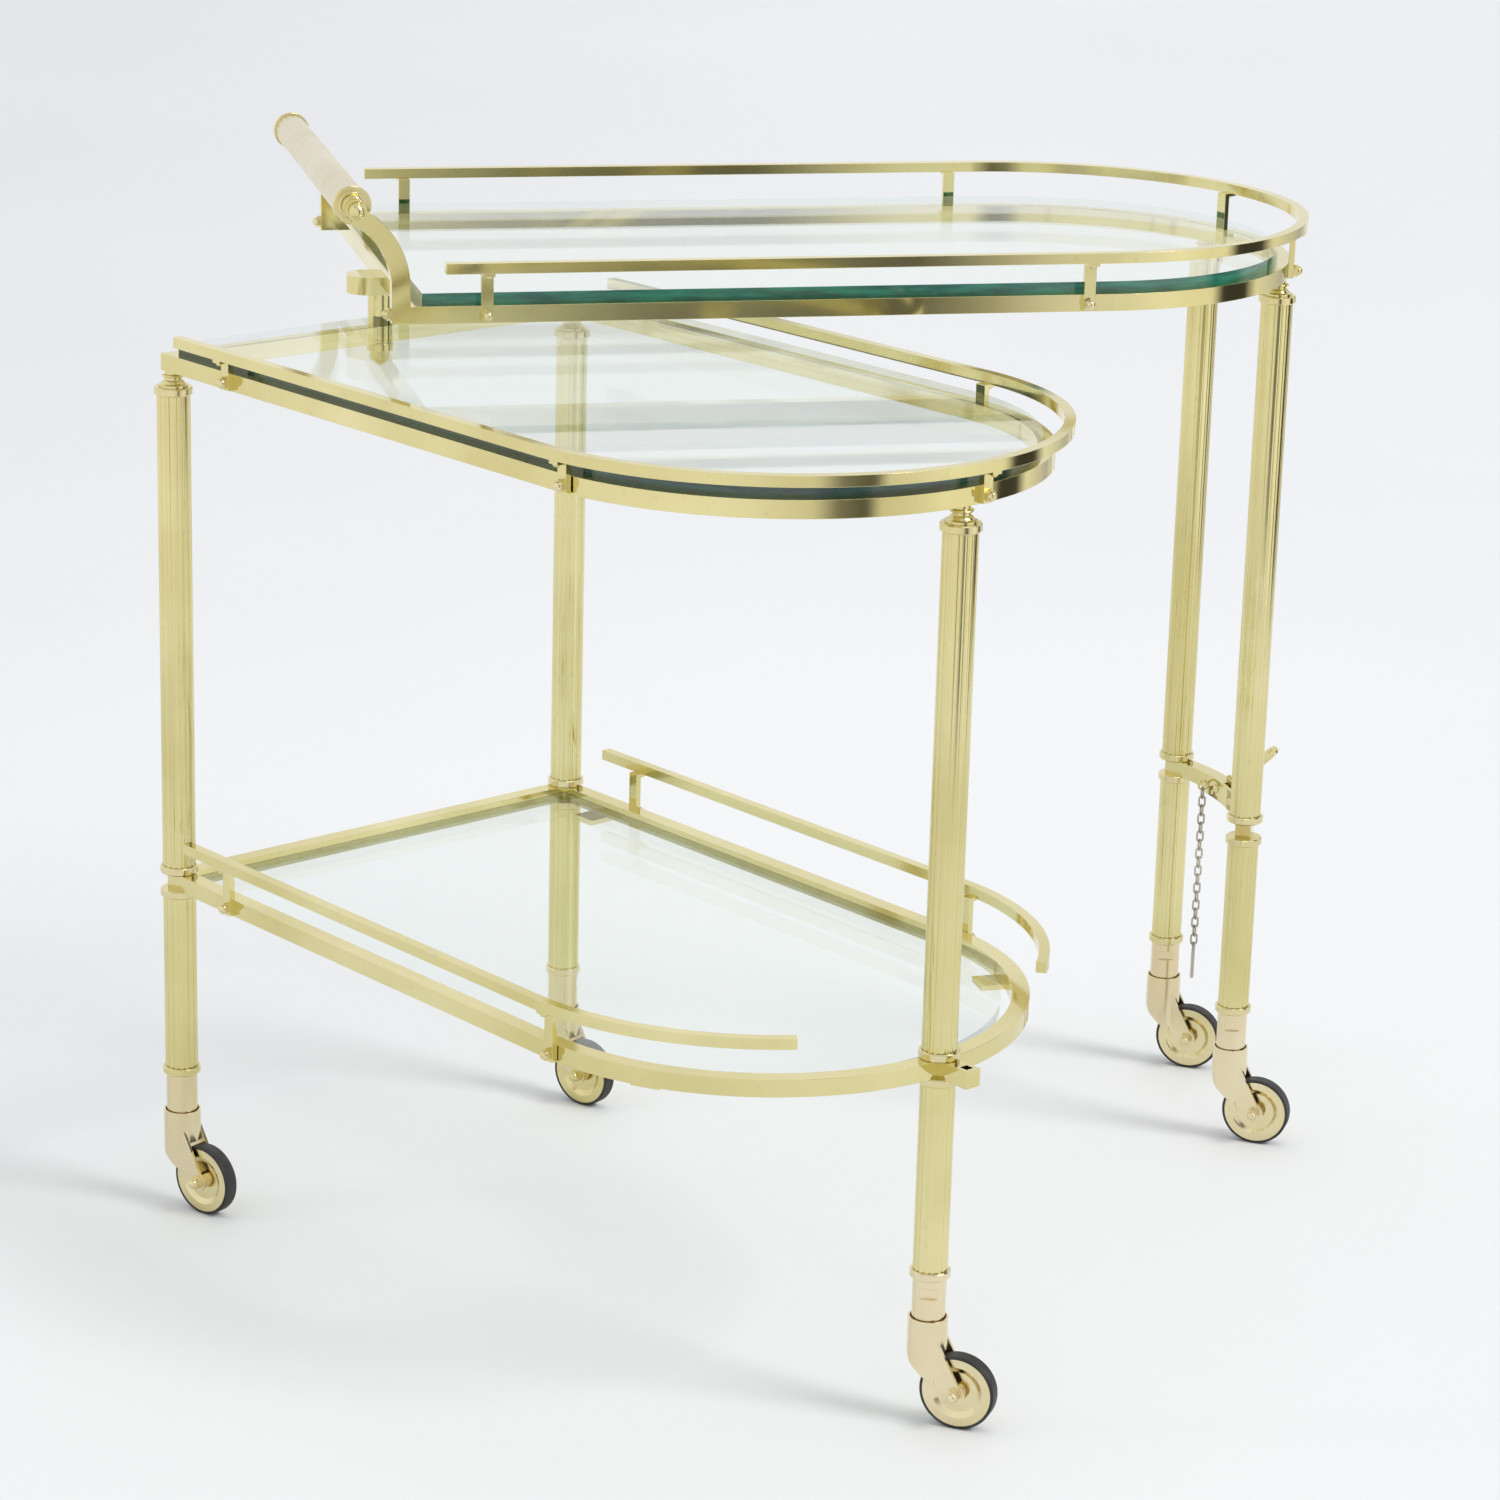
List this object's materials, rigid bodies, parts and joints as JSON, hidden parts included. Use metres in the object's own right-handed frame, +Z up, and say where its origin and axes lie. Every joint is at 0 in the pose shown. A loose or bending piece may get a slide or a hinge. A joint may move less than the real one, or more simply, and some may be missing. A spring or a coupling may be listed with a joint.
{
  "type": "rolling bar cart",
  "caption": "Rolling bar cart of fluted tube and glass: fixed shelves with gallery rails under a longer railed tray that swings out on its own legs and casters.",
  "frame": {"origin": "on the floor, at the middle of the whole cart's footprint with the tray swung out as stored", "axes": "+Z up; +X from the base's square end towards its round end; the tray swings out towards +Y"},
  "size_m": [0.9105, 0.9074, 0.8293],
  "materials": {
    "polished_brass": "polished",
    "tray_glass": "clear with green edges",
    "black_rubber": "satin",
    "chain_steel": "dull"
  },
  "bodies": {
    "base": {"base_upper_tubes": "polished_brass", "base_lower_tubes": "polished_brass", "base_collars": "polished_brass", "base_finials": "polished_brass", "base_caster_sockets": "polished_brass", "middle_frame": "polished_brass", "middle_glass": "tray_glass", "middle_rail": "polished_brass", "middle_rail_posts": "polished_brass", "shelf_frame": "polished_brass", "shelf_glass": "tray_glass", "shelf_glass_tabs": "polished_brass", "shelf_rail_front": "polished_brass", "shelf_rail_back": "polished_brass", "shelf_rail_posts": "polished_brass", "base_acorn_screws": "polished_brass", "latch_stub": "polished_brass", "pivot_sleeve": "polished_brass"},
    "swing_tray": {"tray_upper_tubes": "polished_brass", "tray_lower_tubes": "polished_brass", "tray_collars": "polished_brass", "tray_finials": "polished_brass", "tray_caster_sockets": "polished_brass", "tray_frame": "polished_brass", "tray_glass": "tray_glass", "tray_rail": "polished_brass", "tray_rail_posts": "polished_brass", "tray_acorn_screws": "polished_brass", "pivot_plates": "polished_brass", "pivot_bolt": "polished_brass", "pivot_nut": "polished_brass", "tray_crossbar": "polished_brass", "latch_bracket": "polished_brass", "latch_fasteners": "polished_brass", "handle_grip": "polished_brass", "handle_end_caps": "polished_brass", "handle_arms": "polished_brass"},
    "hasp": {"latch_hasp": "polished_brass"},
    "lock_chain": {"latch_chain": "chain_steel"},
    "lock_pin": {"latch_pin": "chain_steel"},
    "caster_a_swivel": {"caster_a_fork": "polished_brass", "caster_a_axle": "polished_brass"},
    "caster_a_roller": {"caster_a_wheel": "polished_brass", "caster_a_tyre": "black_rubber"},
    "caster_b_swivel": {"caster_b_fork": "polished_brass", "caster_b_axle": "polished_brass"},
    "caster_b_roller": {"caster_b_wheel": "polished_brass", "caster_b_tyre": "black_rubber"},
    "caster_c_swivel": {"caster_c_fork": "polished_brass", "caster_c_axle": "polished_brass"},
    "caster_c_roller": {"caster_c_wheel": "polished_brass", "caster_c_tyre": "black_rubber"},
    "caster_d_swivel": {"caster_d_fork": "polished_brass", "caster_d_axle": "polished_brass"},
    "caster_d_roller": {"caster_d_wheel": "polished_brass", "caster_d_tyre": "black_rubber"},
    "caster_e_swivel": {"caster_e_fork": "polished_brass", "caster_e_axle": "polished_brass"},
    "caster_e_roller": {"caster_e_wheel": "polished_brass", "caster_e_tyre": "black_rubber"}
  },
  "joints": [
    {"name": "tray_swing", "type": "hinge", "parent": "base", "child": "swing_tray", "pos_m": [-0.2488, -0.2407, 0.723], "axis": [0, 0, 1], "range_deg": [-61.7, 118.3]},
    {"name": "caster_a_turn", "type": "hinge", "parent": "base", "child": "caster_a_swivel", "pos_m": [-0.2488, -0.4342, 0.072], "axis": [0, 0, 1], "continuous": true},
    {"name": "caster_a_roll", "type": "hinge", "parent": "caster_a_swivel", "child": "caster_a_roller", "pos_m": [-0.22435, -0.429, 0.028], "axis": [-0.2079, 0.9781, 0], "continuous": true},
    {"name": "caster_b_turn", "type": "hinge", "parent": "base", "child": "caster_b_swivel", "pos_m": [-0.2488, -0.0472, 0.072], "axis": [0, 0, 1], "continuous": true},
    {"name": "caster_b_roll", "type": "hinge", "parent": "caster_b_swivel", "child": "caster_b_roller", "pos_m": [-0.22435, -0.042, 0.028], "axis": [-0.2079, 0.9781, 0], "continuous": true},
    {"name": "caster_c_turn", "type": "hinge", "parent": "base", "child": "caster_c_swivel", "pos_m": [0.4062, -0.2407, 0.072], "axis": [0, 0, 1], "continuous": true},
    {"name": "caster_c_roll", "type": "hinge", "parent": "caster_c_swivel", "child": "caster_c_roller", "pos_m": [0.42827, -0.22896, 0.028], "axis": [-0.4695, 0.8829, 0], "continuous": true},
    {"name": "caster_d_turn", "type": "hinge", "parent": "swing_tray", "child": "caster_d_swivel", "pos_m": [0.00683, 0.42252, 0.072], "axis": [0, 0, 1], "continuous": true},
    {"name": "caster_d_roll", "type": "hinge", "parent": "caster_d_swivel", "child": "caster_d_roller", "pos_m": [0.02848, 0.43502, 0.028], "axis": [-0.5, 0.866, 0], "continuous": true},
    {"name": "caster_e_turn", "type": "hinge", "parent": "swing_tray", "child": "caster_e_swivel", "pos_m": [0.16417, 0.3378, 0.072], "axis": [0, 0, 1], "continuous": true},
    {"name": "caster_e_roll", "type": "hinge", "parent": "caster_e_swivel", "child": "caster_e_roller", "pos_m": [0.18582, 0.3503, 0.028], "axis": [-0.5, 0.866, 0], "continuous": true},
    {"name": "hasp_hinge", "type": "hinge", "parent": "swing_tray", "child": "hasp", "pos_m": [0.0961, 0.39985, 0.2835], "axis": [0.8805, -0.4741, 0], "range_deg": [-40, 140]},
    {"name": "chain_swing", "type": "hinge", "parent": "swing_tray", "child": "lock_chain", "pos_m": [0.05908, 0.4007, 0.268], "axis": [0.4741, 0.8805, 0], "range_deg": [-25, 8]},
    {"name": "pin_swing", "type": "hinge", "parent": "lock_chain", "child": "lock_pin", "pos_m": [0.05908, 0.4007, 0.1286], "axis": [0.4741, 0.8805, 0], "range_deg": [-45, 25]}
  ]
}
